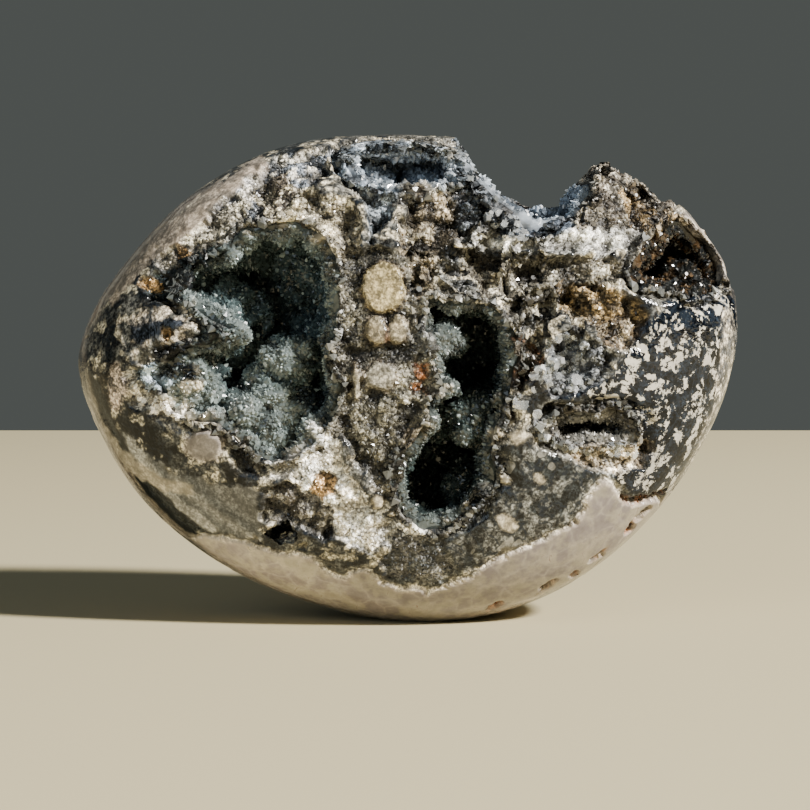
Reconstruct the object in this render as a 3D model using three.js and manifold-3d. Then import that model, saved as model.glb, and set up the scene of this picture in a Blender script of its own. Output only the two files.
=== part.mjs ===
// A polished chalcedony geode, standing on a small ground flat.
// Millimetres. X to the right, Y to the back and Z up, seen from the front. The origin is under the middle
// of the stone, on the surface that it stands on.
import * as THREE from "three";
import { ImprovedNoise } from "three/addons/math/ImprovedNoise.js";
import { mergeVertices } from "three/addons/utils/BufferGeometryUtils.js";
import Module from "manifold-3d";

const wasm = await Module();
wasm.setup();

// The polished oval. An outline is a list of x and z as seen from the front, drawn as a smooth closed curve.
// Fullness shapes the section from front to back: 2 is an ellipse, more is flatter with tighter edges.
const WIDTH = 200;
const HEIGHT = 147;
const GROUND_AWAY = 2;
const POLISHED_OVAL = {
  middle: [0, 0, HEIGHT / 2],
  front: 48,
  back: 48,
  fullness: 2.4,
  outline: [
    [-WIDTH / 2, 75],
    [-96.5, 91.5],
    [-85, 109],
    [-66.5, 128],
    [-40, 142.5],
    [-9, HEIGHT],
    [28, 145],
    [60, 139],
    [86.5, 122],
    [98, 103],
    [WIDTH / 2, 86],
    [94.5, 63],
    [77, 34],
    [48, 9.5],
    [10, -GROUND_AWAY],
    [-25, 3],
    [-57, 16.5],
    [-84, 40],
  ],
};

// The hollows. Each is one or two chambers that run into each other, drawn like the oval, with the rounded
// mounds that stand in it, each a place x, y, z and a radius.
const LEFT_HOLLOW = {
  chambers: [
    {
      middle: [-42, -36, 102],
      front: 22,
      back: 38,
      fullness: 2.4,
      outline: [
        [-75, 102],
        [-63.5, 106],
        [-54, 111.5],
        [-48.5, 119],
        [-41, 120.5],
        [-30.5, 119],
        [-23, 113.5],
        [-19, 101],
        [-20, 85],
        [-42, 80],
        [-56, 91.5],
        [-66.5, 97],
      ],
    },
    {
      middle: [-43.5, -36, 69.5],
      front: 22,
      back: 34,
      fullness: 2.4,
      outline: [
        [-61, 83],
        [-45.5, 90.5],
        [-31.5, 90.5],
        [-20, 85],
        [-19, 68.5],
        [-24, 57.5],
        [-34, 49],
        [-44.5, 51.5],
        [-51.5, 59],
        [-61, 63],
        [-72, 66],
        [-78, 73.5],
        [-72, 82],
      ],
    },
  ],
  mounds: [
    [-40, -25, 63, 15],
    [-64.5, -25, 71.5, 11],
    [-35, -28, 79, 8],
    [-53, -14, 89.5, 12],
    [-31.5, -11, 105, 9],
  ],
  crystal: 4,
  skinDetail: 2,
  finish: { color: 0x4a5656, roughness: 0.2, metalness: 0 },
};
const CENTRE_HOLLOW = {
  chambers: [
    {
      middle: [18, -36, 83],
      front: 22,
      back: 32,
      fullness: 2.4,
      outline: [
        [2, 98],
        [5.5, 103],
        [12.5, 99],
        [21, 98],
        [28.5, 92.5],
        [33, 85],
        [31.5, 74.5],
        [26.5, 65],
        [14, 64],
        [7.5, 72.5],
        [5.5, 84],
      ],
    },
    {
      middle: [12.5, -36, 51.5],
      front: 22,
      back: 36,
      fullness: 2.4,
      outline: [
        [8.5, 73.5],
        [21, 73.5],
        [31.5, 68.5],
        [32.5, 64],
        [25.5, 57.5],
        [26.5, 49],
        [22, 40],
        [15, 32.5],
        [8.5, 29],
        [0, 32.5],
        [-5.5, 40],
        [-5.5, 49],
        [2, 59],
      ],
    },
  ],
  mounds: [
    [10.5, -37, 85, 5.5],
    [20, -31, 62, 8],
    [5.5, -24, 63, 7],
    [18, -18, 41, 7.5],
  ],
  crystal: 3.6,
  skinDetail: 2,
  finish: { color: 0x465150, roughness: 0.2, metalness: 0 },
};
const TOP_HOLLOW = {
  chambers: [
    {
      middle: [-2, -12, 133.5],
      front: 26,
      back: 20,
      fullness: 2.4,
      outline: [
        [-22.5, 136.5],
        [-17.5, 141.5],
        [-4, 143.5],
        [9.5, 142.5],
        [23.5, 137.5],
        [19.5, 127],
        [7, 125],
        [-5, 126],
        [-13.5, 127],
        [-20.5, 129.5],
      ],
    },
    {
      middle: [33, -5, 126],
      front: 26,
      back: 27,
      fullness: 2.6,
      outline: [
        [5, 133],
        [19, 140],
        [34, 136],
        [49, 134],
        [59, 126],
        [56, 116],
        [40, 111],
        [25, 113],
        [12, 122],
      ],
    },
  ],
  mounds: [
    [-12, -7, 131, 7],
    [6, -2, 128, 7],
    [24, 6, 118, 8],
    [42, 10, 117, 8],
  ],
  crystal: 3.6,
  skinDetail: 1,
  finish: { color: 0x66727c, roughness: 0.2, metalness: 0 },
};
const SHOULDER_HOLLOW = {
  chambers: [
    {
      middle: [78.5, -24, 108.5],
      front: 22,
      back: 28,
      fullness: 2.4,
      outline: [
        [64, 101.5],
        [65, 110.5],
        [73, 117],
        [80.5, 121],
        [89.5, 116],
        [95, 108.5],
        [96.5, 100.5],
        [90, 98.5],
        [80.5, 97.5],
        [73, 98.5],
      ],
    },
  ],
  mounds: [
    [70, -18, 112, 6],
    [81.5, -8, 103.5, 6],
  ],
  crystal: 3,
  skinDetail: 1,
  finish: { color: 0x6e5636, roughness: 0.45, metalness: 0 },
};
const SLOT = {
  chambers: [
    {
      middle: [53, -35, 59],
      front: 20,
      back: 18,
      fullness: 2.2,
      outline: [
        [37, 59],
        [43.5, 64.5],
        [53, 66],
        [62, 64.5],
        [69.5, 59],
        [63.5, 55.5],
        [56, 54.5],
        [47.5, 54.5],
      ],
    },
  ],
  mounds: [],
  crystal: 2.6,
  skinDetail: 1,
  finish: { color: 0xa39c8e, roughness: 0.25, metalness: 0 },
};
const HOLLOWS = {
  left_hollow_crystals: LEFT_HOLLOW,
  centre_hollow_crystals: CENTRE_HOLLOW,
  top_hollow_crystals: TOP_HOLLOW,
  shoulder_hollow_crystals: SHOULDER_HOLLOW,
  slot_crystals: SLOT,
};

// The saddle where the top edge has broken away over the trench. It climbs to the back by its rise.
const SADDLE = {
  middle: [38, 0, 150],
  front: 85,
  back: 85,
  fullness: 6,
  rise: 0.1,
  outline: [
    [15, 165],
    [17, 142],
    [23, 132],
    [34, 124],
    [44, 121],
    [50, 125],
    [54, 132],
    [58, 142],
    [60, 165],
  ],
};
// The rough parts of the face, which the grinding has not reached, and a small pit
const DISHES = [
  {
    middle: [47.5, -54, 87],
    front: 20,
    back: 18,
    fullness: 2,
    outline: [
      [28.5, 88.5],
      [35, 98],
      [47.5, 103],
      [62.5, 101],
      [71, 94.5],
      [66.5, 84],
      [59, 76.5],
      [47.5, 68.5],
      [34, 74.5],
    ],
  },
  {
    middle: [24.5, -50, 111.5],
    front: 20,
    back: 12,
    fullness: 2,
    outline: [
      [0, 112.5],
      [7.5, 122],
      [23, 125.5],
      [42, 122],
      [55, 114.5],
      [45.5, 104],
      [24.5, 99],
      [7.5, 101],
    ],
  },
  {
    middle: [-37, -38, 30],
    front: 12,
    back: 12,
    fullness: 2,
    outline: [
      [-43.5, 30],
      [-38, 32.5],
      [-31.5, 31],
      [-31.5, 27.5],
      [-38, 27],
    ],
  },
];
const SHOULDER_NICK = [76, -6, 137, 7, 40, 10];

// Lumps of rough rock, as x, z and radius, each with its crown near the polished face
const ROUGH_LUMPS = [
  [6.5, 119, 6.5],
  [16, 114.5, 7],
  [29.5, 108.5, 7.5],
  [40, 114.5, 7],
  [51.5, 111.5, 8],
  [42, 101, 7.5],
  [55, 98, 7],
  [43, 88.5, 6],
  [54, 86, 6.5],
  [63.5, 91.5, 6],
  [38, 78, 5.5],
];
// Lumps of the peak between the trench and the right shoulder, as x, y, z and radius
const PEAK_LUMPS = [
  [62, -14, 127, 10],
  [70, -18, 122, 8],
  [66, 4, 127, 10],
];

// The crusts: a skin this thick, clear of the stone behind it, that ends below the polished face
const CRUST_GAP = 0.4;
const CRUST_THICKNESS = 2.6;
const CRUST_BELOW_FACE = 2.2;

// How finely the oval, the walls and the lumps are faceted, and how uneven they are for their size
const OVAL_DETAIL = 5;
const CRUST_EDGE_DETAIL = 3;
const WALL_DETAIL = 2;
const LUMP_DETAIL = 1;
const WALL_RELIEF = 0.05;
const LUMP_RELIEF = 0.16;
const RELIEF_GRAIN = 1.7;
const LUMP_SUNK = 0.9;

// The larger crystals: six-sided points rooted in the skin, one at every so many of its corners
const CRYSTAL_SIDES = 6;
const CRYSTAL_SLIMNESS = 0.55;
const CRYSTAL_SINK = 0.9;
const CRYSTAL_STRIDE = 31;
const SHORTEST_CRYSTAL = 0.75;
const CRYSTAL_SPREAD = 0.5;
const CLEAR_OF_RIM = 4;

const OUTLINE_STEPS = 40;
const SAME_POINT = 1e-4;
const SMALLEST_RADIUS = 0.1;

const noise = new ImprovedNoise();

// A closed three.js geometry as a solid that can be joined and cut.
function solidOf(geometry) {
  const bare = geometry.clone();
  bare.deleteAttribute("normal");
  bare.deleteAttribute("uv");
  const merged = mergeVertices(bare, SAME_POINT);
  return new wasm.Manifold(
    new wasm.Mesh({
      numProp: 3,
      vertProperties: merged.getAttribute("position").array,
      triVerts: new Uint32Array(merged.index.array),
    }),
  );
}

function geometryOf(solid) {
  const { numProp, vertProperties, triVerts } = solid.getMesh();
  const count = vertProperties.length / numProp;
  const position = new Float32Array(count * 3);
  for (let i = 0; i < count; i++) {
    position.set(vertProperties.subarray(i * numProp, i * numProp + 3), i * 3);
  }
  const geometry = new THREE.BufferGeometry();
  geometry.setAttribute("position", new THREE.BufferAttribute(position, 3));
  geometry.setIndex(new THREE.BufferAttribute(new Uint32Array(triVerts), 1));
  return geometry;
}

const joined = (solids) => solids.reduce((all, one) => all.add(one));
const largest = (solid) => solid.decompose().reduce((a, b) => (b.volume() > a.volume() ? b : a));

// A form's outline as a radius from its middle, for any angle in the front view.
function radiusByAngle({ outline, middle }) {
  const corners = outline.map(([x, z]) => new THREE.Vector3(x - middle[0], 0, z - middle[2]));
  const rim = new THREE.CatmullRomCurve3(corners, true, "centripetal")
    .getPoints(OUTLINE_STEPS * corners.length)
    .map((p) => ({ angle: Math.atan2(p.z, p.x), radius: Math.hypot(p.x, p.z) }))
    .sort((a, b) => a.angle - b.angle);
  return (angle) => {
    let low = 0;
    let high = rim.length - 1;
    while (high - low > 1) {
      const half = (low + high) >> 1;
      if (rim[half].angle > angle) high = half;
      else low = half;
    }
    return rim[low].radius;
  };
}

const unevenness = (way, [x, y, z], relief) =>
  relief * noise.noise(way.x * RELIEF_GRAIN + x, way.y * RELIEF_GRAIN + y, way.z * RELIEF_GRAIN + z);

// A ball whose every direction is drawn out to a form's outline and to its front and back.
function drawnOut(form, detail, relief = 0, smaller = 0) {
  const { middle, front, back, fullness, rise = 0 } = form;
  const radius = radiusByAngle(form);
  const power = 2 / fullness;
  const ball = new THREE.IcosahedronGeometry(1, detail);
  const place = ball.getAttribute("position");
  const centre = new THREE.Vector3(...middle);
  for (let i = 0; i < place.count; i++) {
    const way = new THREE.Vector3().fromBufferAttribute(place, i).normalize();
    const flat = Math.hypot(way.x, way.z);
    const across = radius(Math.atan2(way.z, way.x)) * flat ** power;
    const turn = flat > 0 ? across / flat : 0;
    const deep = Math.sign(way.y) * (way.y < 0 ? front : back) * Math.abs(way.y) ** power;
    const at = new THREE.Vector3(way.x * turn, deep, way.z * turn + deep * rise);
    at.multiplyScalar(1 + unevenness(way, middle, relief));
    at.setLength(Math.max(at.length() - smaller, SMALLEST_RADIUS)).add(centre);
    place.setXYZ(i, at.x, at.y, at.z);
  }
  return solidOf(ball);
}

function lump([x, y, z, rx, ry = rx, rz = rx]) {
  const ball = new THREE.IcosahedronGeometry(1, LUMP_DETAIL);
  const place = ball.getAttribute("position");
  for (let i = 0; i < place.count; i++) {
    const way = new THREE.Vector3().fromBufferAttribute(place, i).normalize();
    const size = 1 + unevenness(way, [x, y, z], LUMP_RELIEF);
    place.setXYZ(i, x + way.x * rx * size, y + way.y * ry * size, z + way.z * rz * size);
  }
  return solidOf(ball);
}

const ovalRadius = radiusByAngle(POLISHED_OVAL);

// Where the polished face stands, as y, at x and z.
function faceAt(x, z) {
  const { middle, front, fullness } = POLISHED_OVAL;
  const share = Math.hypot(x, z - middle[2]) / ovalRadius(Math.atan2(z - middle[2], x));
  return -front * (1 - Math.min(share, 1) ** fullness) ** (1 / fullness);
}

const oval = drawnOut(POLISHED_OVAL, OVAL_DETAIL);
const saddle = drawnOut(SADDLE, WALL_DETAIL, WALL_RELIEF);

function chambersOf({ chambers }, detail, smaller = 0) {
  return joined(chambers.map((c) => drawnOut(c, detail, WALL_RELIEF, smaller)));
}

// The crust of crystals in one hollow: a skin along its walls, with the mounds and the larger crystals on it.
function crust(hollow) {
  const room = chambersOf(hollow, WALL_DETAIL, CRUST_GAP)
    .intersect(drawnOut(POLISHED_OVAL, CRUST_EDGE_DETAIL, 0, CRUST_BELOW_FACE))
    .subtract(saddle);
  const open = chambersOf(hollow, hollow.skinDetail, CRUST_GAP + CRUST_THICKNESS);
  const mounds = hollow.mounds.map((m) => lump(m).intersect(room));
  const skin = joined([room.subtract(open), ...mounds]);
  const crystals = crystalsOn(skin, hollow).map((c) => c.intersect(room));
  return largest(joined([skin, ...crystals]));
}

// Hexagonal points standing on the side of a crust that faces into the hollow.
function crystalsOn(skin, { chambers, crystal }) {
  const surface = geometryOf(skin);
  surface.computeVertexNormals();
  const place = surface.getAttribute("position");
  const normal = surface.getAttribute("normal");
  const up = new THREE.Vector3(0, 1, 0);
  const crystals = [];
  for (let i = 0; i < place.count; i += CRYSTAL_STRIDE) {
    const at = new THREE.Vector3().fromBufferAttribute(place, i);
    const out = new THREE.Vector3().fromBufferAttribute(normal, i);
    if (at.y < faceAt(at.x, at.z) + CLEAR_OF_RIM || !facesHollow(at, out, chambers)) continue;
    const height = crystal * (SHORTEST_CRYSTAL + CRYSTAL_SPREAD * Math.abs(Math.sin(i)));
    const point = new THREE.ConeGeometry(height * CRYSTAL_SLIMNESS, height, CRYSTAL_SIDES);
    point.translate(0, height / 2 - CRYSTAL_SINK, 0);
    point.rotateY(i);
    point.applyQuaternion(new THREE.Quaternion().setFromUnitVectors(up, out));
    point.translate(at.x, at.y, at.z);
    crystals.push(solidOf(point));
  }
  return crystals;
}

// True where a step along the normal comes nearer to the middle of a chamber that the place lies in.
function facesHollow(at, out, chambers) {
  const step = at.clone().add(out);
  return chambers.some(({ middle, back }) => {
    const centre = new THREE.Vector3(...middle);
    return at.distanceTo(centre) < back && step.distanceTo(centre) < at.distanceTo(centre);
  });
}

// The stone: the polished oval with its rough parts, its hollows and the flat ground under it.
function stone() {
  const rough = joined([
    ...ROUGH_LUMPS.map(([x, z, r]) => lump([x, faceAt(x, z) + r * LUMP_SUNK, z, r])),
    ...PEAK_LUMPS.map(lump),
  ]);
  const dishes = joined(DISHES.map((d) => drawnOut(d, LUMP_DETAIL, WALL_RELIEF)));
  const hollows = joined(Object.values(HOLLOWS).map((h) => chambersOf(h, WALL_DETAIL)));
  const below = new THREE.BoxGeometry(WIDTH * 2, WIDTH * 2, HEIGHT).translate(0, 0, -HEIGHT / 2);
  return largest(
    oval
      .subtract(dishes)
      .subtract(lump(SHOULDER_NICK))
      .subtract(saddle)
      .add(rough)
      .intersect(oval)
      .subtract(hollows)
      .subtract(solidOf(below)),
  );
}

const chalcedony = new THREE.MeshStandardMaterial({ color: 0x8f897e, roughness: 0.3, metalness: 0 });

function node(name, solid, material) {
  const mesh = new THREE.Mesh(geometryOf(solid), material);
  mesh.name = name;
  return mesh;
}

const geode = new THREE.Group();
geode.add(node("geode_stone", stone(), chalcedony));
for (const [name, hollow] of Object.entries(HOLLOWS)) {
  geode.add(node(name, crust(hollow), new THREE.MeshStandardMaterial(hollow.finish)));
}

export default geode;
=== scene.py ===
import math

import bpy
import numpy as np
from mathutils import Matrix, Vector, noise
from mathutils.bvhtree import BVHTree
from mathutils.kdtree import KDTree


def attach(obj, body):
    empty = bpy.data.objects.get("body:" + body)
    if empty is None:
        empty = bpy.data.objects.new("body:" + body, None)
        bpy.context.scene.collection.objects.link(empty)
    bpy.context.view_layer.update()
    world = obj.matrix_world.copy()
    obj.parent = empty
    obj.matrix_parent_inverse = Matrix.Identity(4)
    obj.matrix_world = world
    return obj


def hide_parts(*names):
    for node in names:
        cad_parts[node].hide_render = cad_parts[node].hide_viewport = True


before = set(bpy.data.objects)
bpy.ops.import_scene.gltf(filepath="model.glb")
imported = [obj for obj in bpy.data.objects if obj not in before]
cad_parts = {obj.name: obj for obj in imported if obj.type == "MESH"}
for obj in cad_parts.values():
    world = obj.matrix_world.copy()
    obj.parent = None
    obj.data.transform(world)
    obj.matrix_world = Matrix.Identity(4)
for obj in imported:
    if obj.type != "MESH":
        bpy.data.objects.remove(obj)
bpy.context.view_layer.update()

# The stone: one nodule of chalcedony, ground to a flattened oval that stands on its edge. The grinding has
# polished it all over but for the rough rock around its hollows. It is a fine skin grown over the solid,
# swayed and roughened, and ground back to the same oval.
mm = 0.001

# The noise is seeded from the clock unless it is given a seed
ROCK_SEED = 1
noise.seed_set(ROCK_SEED)

OVAL_OUTLINE = [
    [-100, 75], [-96.5, 91.5], [-85, 109], [-66.5, 128], [-40, 142.5], [-9, 147],
    [28, 145], [60, 139], [86.5, 122], [98, 103], [100, 86], [94.5, 63],
    [77, 34], [48, 9.5], [10, -2], [-25, 3], [-57, 16.5], [-84, 40],
]
OVAL_MIDDLE = 73.5 * mm
MIDDLE = np.array([0, 0, OVAL_MIDDLE])
OVAL_DEPTH = 48 * mm
OVAL_FULLNESS = 2.4

SKIN_GRAIN = 0.72 * mm
MOST_TRIANGLES = 197000


def smooth_step(value, low, high):
    share = np.clip((value - low) / (high - low), 0, 1)
    return share * share * (3 - 2 * share)


def rounded(outline, steps=40):
    """A closed centripetal Catmull-Rom curve through an outline's corners, in metres."""
    corners = np.array(outline, float) * mm
    curve = []
    for i in range(len(corners)):
        a, b, c, d = (corners[(i + k) % len(corners)] for k in (-1, 0, 1, 2))
        ab, bc, cd = (math.sqrt(np.linalg.norm(q - p)) for p, q in ((a, b), (b, c), (c, d)))
        leaving = ((b - a) / ab - (c - a) / (ab + bc) + (c - b) / bc) * bc
        coming = ((c - b) / bc - (d - b) / (bc + cd) + (d - c) / cd) * bc
        for t in np.arange(steps) / steps:
            curve.append(
                (2 * t**3 - 3 * t**2 + 1) * b
                + (t**3 - 2 * t**2 + t) * leaving
                + (3 * t**2 - 2 * t**3) * c
                + (t**3 - t**2) * coming
            )
    return np.array(curve)


oval_rim = rounded(OVAL_OUTLINE) - [0, OVAL_MIDDLE]
rim_angle = np.arctan2(oval_rim[:, 1], oval_rim[:, 0])
rim_order = np.argsort(rim_angle)
rim_angle = rim_angle[rim_order]
rim_radius = np.hypot(oval_rim[:, 0], oval_rim[:, 1])[rim_order]


def out_to_rim(points):
    """How far out each point lies as seen from the front, from 0 at the middle to 1 on the outline."""
    x, z = points[:, 0], points[:, 2] - OVAL_MIDDLE
    return np.hypot(x, z) / np.interp(np.arctan2(z, x), rim_angle, rim_radius, period=2 * math.pi)


def out_to_face(points):
    """How far out each point lies, from 0 at the middle of the stone to 1 on the polished oval."""
    deep = np.abs(points[:, 1]) / OVAL_DEPTH
    return (out_to_rim(points) ** OVAL_FULLNESS + deep**OVAL_FULLNESS) ** (1 / OVAL_FULLNESS)


# How high the broken top edge stands, from the saddle over the peak to the right shoulder
SKYLINE = [[14, 150], [17.7, 140.5], [19, 137], [24, 134], [28, 129.5], [34, 127], [42, 125.5], [45, 126.5],
           [48, 131], [54.5, 134.5], [57, 137.5], [63, 138.5], [68, 137], [72.5, 134.5], [74, 130.5],
           [77, 126.5], [80.5, 127.5], [84, 127], [90, 150]]


def skyline(points):
    return np.interp(points[:, 0] / mm, [x for x, _ in SKYLINE], [z for _, z in SKYLINE]) * mm


def ground_off(points, limit=1.0):
    """Grinds off what stands past the oval, or past a share of it, over the skyline or in the ground."""
    over = np.maximum(out_to_face(points) / limit, 1)
    ground = MIDDLE + (points - MIDDLE) / over[:, None]
    ground[:, 2] -= np.maximum(ground[:, 2] - skyline(ground) - 0.4 * mm, 0) * 0.75
    ground[:, 2] = np.maximum(ground[:, 2], 0)
    return ground


def face_over(points):
    """How far each point lies behind the polished face, straight along the depth of the stone."""
    share = np.minimum(out_to_rim(points), 1)
    return points[:, 1] + OVAL_DEPTH * (1 - share**OVAL_FULLNESS) ** (1 / OVAL_FULLNESS)


def copy_of(node, name):
    """A copy of a CAD node with its loose triangles merged, selected and ready for modifiers."""
    bpy.ops.object.select_all(action="DESELECT")
    piece = bpy.data.objects.new(name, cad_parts[node].data.copy())
    bpy.context.collection.objects.link(piece)
    piece.data.materials.clear()
    piece.select_set(True)
    bpy.context.view_layer.objects.active = piece
    bpy.ops.object.mode_set(mode="EDIT")
    bpy.ops.mesh.select_all(action="SELECT")
    bpy.ops.mesh.remove_doubles(threshold=0.01 * mm)
    bpy.ops.object.mode_set(mode="OBJECT")
    return piece


def worked(piece, kind, **settings):
    modifier = piece.modifiers.new(kind, kind)
    for key, value in settings.items():
        setattr(modifier, key, value)
    bpy.ops.object.modifier_apply(modifier=modifier.name)


def read(piece, what):
    flat = np.empty(len(piece.data.vertices) * 3, np.float32)
    piece.data.vertices.foreach_get(what, flat)
    return flat.reshape(-1, 3).astype(float)


def write(piece, points):
    piece.data.vertices.foreach_set("co", points.astype(np.float32).ravel())
    piece.data.update()


def wander(points, size):
    """Smooth noise about -1 to 1, with waves of the given size."""
    return np.array([noise.noise(p) for p in (points / size).tolist()])


def sway(points):
    """How the rock strays from the drawn solid, alike for the stone and its crusts, and not at the ground.
    It stays under the skyline of the broken edge."""
    wide = np.array([noise.noise_vector(p) for p in (points / (11 * mm)).tolist()])
    close = np.array([noise.noise_vector(p) for p in (points / (4.2 * mm) + 7).tolist()])
    hold = smooth_step(points[:, 2], 0, 12 * mm)[:, None]
    moved = points + (wide * 2.0 + close * 1.2) * mm * hold
    moved[:, 2] -= np.maximum(moved[:, 2] - skyline(moved), 0) * 0.9
    return moved


def knobs(points, size):
    """Rounded knobs packed side by side, 0 in the creases and 1 on the crowns, and a chance for each."""
    found = [noise.voronoi(p) for p in (points / size).tolist()]
    near = np.array([f[0][0] for f in found])
    seat = np.array([f[1][0] for f in found])
    chance = np.modf(np.abs(np.sin(seat @ [12.9898, 78.233, 37.719])) * 43758.5)[0]
    return 1 - np.clip(near / 0.8, 0, 1) ** 2, chance


def tree_of(nodes):
    corners, faces = [], []
    for name in nodes:
        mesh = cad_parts[name].data
        start = len(corners)
        corners += [v.co.copy() for v in mesh.vertices]
        faces += [[start + i for i in f.vertices] for f in mesh.polygons]
    return BVHTree.FromPolygons(corners, faces)


def facing(tree, points, normals, reach, least=0.0):
    """True for points that look at something nearer than a reach, straight on where least is near 1."""
    looks = []
    for point, normal in zip(points.tolist(), normals.tolist()):
        found, _, _, gap = tree.find_nearest(point, reach)
        looks.append(found is not None and (found - Vector(point)).dot(Vector(normal)) > least * gap)
    return np.array(looks)


def gap_to(tree, points, reach):
    """How far each point is from something, or the reach where it is further."""
    gaps = (tree.find_nearest(point, reach)[3] for point in points.tolist())
    return np.array([reach if gap is None else gap for gap in gaps])


def inside(points, outline):
    """How far inside an outline of x and z each point lies, in metres: less than nothing is outside."""
    x, z = points[:, 0], points[:, 2]
    corners = np.array(outline) * mm
    nearest = np.full(len(points), np.inf)
    within = np.zeros(len(points), bool)
    for (ax, az), (bx, bz) in zip(corners, np.roll(corners, -1, axis=0)):
        wide, high = bx - ax, bz - az
        along = np.clip(((x - ax) * wide + (z - az) * high) / (wide**2 + high**2), 0, 1)
        nearest = np.minimum(nearest, np.hypot(x - ax - along * wide, z - az - along * high))
        if high:
            within ^= ((az > z) != (bz > z)) & (x < ax + (z - az) * wide / high)
    return np.where(within, nearest, -nearest)


# The broken peak right of the saddle, seen from the front
PEAK = [[53, 118], [52, 145], [66, 144], [80, 136], [86, 126], [82, 119], [70, 116]]
SADDLE = [[14, 112], [14, 150], [60, 150], [64, 112]]
CRUSTS = [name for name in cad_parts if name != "geode_stone"]
CRUST_REACH = 1.3 * mm
crust_tree = tree_of(CRUSTS)
stone_tree = tree_of(["geode_stone"])

stone = copy_of("geode_stone", "geode")
worked(stone, "REMESH", mode="VOXEL", voxel_size=SKIN_GRAIN)
worked(stone, "SMOOTH", factor=0.5, iterations=6)
worked(stone, "TRIANGULATE")

# Thin the skin where it can't be seen close to: on the back, the sides and behind the crusts
drawn = read(stone, "co")
unseen = (drawn[:, 1] > -16 * mm) & (out_to_face(drawn) > 0.975) & (inside(drawn, PEAK) < 0)
unseen &= (drawn[:, 1] > 10 * mm) | (drawn[:, 2] < 122 * mm)
behind = facing(crust_tree, drawn, read(stone, "normal"), CRUST_REACH)
loose = np.flatnonzero(unseen | behind & (face_over(drawn) > 7 * mm)).tolist()
group = stone.vertex_groups.new(name="loose")
group.add(loose, 1.0, "REPLACE")
worked(stone, "DECIMATE", ratio=MOST_TRIANGLES / len(stone.data.polygons), vertex_group="loose")

drawn = read(stone, "co")
polished = smooth_step(out_to_face(drawn), 0.97, 0.985)
whole_back = (drawn[:, 2] < 112 * mm) | (drawn[:, 0] < 12 * mm)
polished = np.maximum(polished, smooth_step(drawn[:, 1], 16 * mm, 20 * mm) * whole_back)
behind = facing(crust_tree, drawn, read(stone, "normal"), CRUST_REACH)
open_rock = (1 - polished) * ~behind

swayed = sway(drawn)
coarse = polished * smooth_step(drawn[:, 1], 0, 16 * mm) * smooth_step(drawn[:, 2], 114 * mm, 104 * mm)
swayed += (drawn - swayed) * coarse[:, None]
on_oval = MIDDLE + (swayed - MIDDLE) / out_to_face(swayed)[:, None]
placed = swayed + (on_oval - swayed) * polished[:, None]
placed[:, 2] = np.maximum(placed[:, 2], 0)
write(stone, placed)

# The colours of the rock, as light
BLUE_BLACK = [0.028, 0.032, 0.036]
GREY = [0.20, 0.198, 0.185]
CREAM = [0.54, 0.50, 0.41]
TAN = [0.34, 0.30, 0.235]
WHITE = [0.74, 0.71, 0.65]
BROWN = [0.095, 0.084, 0.068]
GOLD = [0.39, 0.31, 0.195]
RUST = [0.25, 0.135, 0.07]
BLUE_GREY = [0.15, 0.17, 0.20]
PINK_CREAM = [0.60, 0.52, 0.45]
OLIVE = [0.19, 0.195, 0.195]
SHADED_DARK_DRUSE = [0.055, 0.072, 0.074]
SHADE = [0.12, 0.10, 0.08]

# Where the stone is painted: its face, and all the rock that the grinding hasn't reached
peak = smooth_step(inside(placed, PEAK), 0, 2 * mm) * smooth_step(-placed[:, 1], -26 * mm, -20 * mm)
top = smooth_step(placed[:, 2], 122 * mm, 134 * mm) * smooth_step(-placed[:, 1], -8 * mm, 0)
low_right = smooth_step(placed[:, 0], 40 * mm, 70 * mm) * smooth_step(placed[:, 2], 106 * mm, 98 * mm)
edge_y = (12 - 13 * low_right) * mm
front = np.maximum(smooth_step(-placed[:, 1], edge_y, edge_y + 8 * mm), open_rock)
saddle = smooth_step(inside(placed, SADDLE), -2 * mm, 2 * mm)
saddle *= smooth_step(-placed[:, 1], -38 * mm, -30 * mm)
front = np.maximum(np.maximum(front, peak), np.maximum(top, saddle))
crust_gap = gap_to(crust_tree, drawn, 8 * mm)
lip = (1 - smooth_step(crust_gap, 1.5 * mm, 7.5 * mm)) * polished * (1 - behind)
blotch = wander(placed, 9 * mm) * 0.6 + wander(placed, 3.1 * mm) * 0.45
fleck = wander(placed + 0.5, 5 * mm) * 0.6 + wander(placed + 0.5, 1.9 * mm) * 0.5
ragged = (wander(placed, 4 * mm) + 0.6 * wander(placed, 1.6 * mm)) * mm
patch = smooth_step(wander(placed + 0.9, 4.5 * mm) + 0.7 * wander(placed + 0.9, 1.7 * mm), -0.12, 0.12)

paint = np.array(BLUE_BLACK) + smooth_step(blotch, -0.3, 0.35)[:, None] * (np.array(GREY) - BLUE_BLACK)
paint += smooth_step(fleck, 0.10, 0.24)[:, None] * (np.array(CREAM) - paint)
paint += (lip * (0.25 + 0.55 * patch))[:, None] * (np.array([0.36, 0.34, 0.295]) - paint)
grain = 0.25 + 0.75 * open_rock
sunk = np.zeros(len(placed))
snow = np.zeros(len(placed))
calm = np.zeros(len(placed))
lumpy = np.ones(len(placed))


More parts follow.
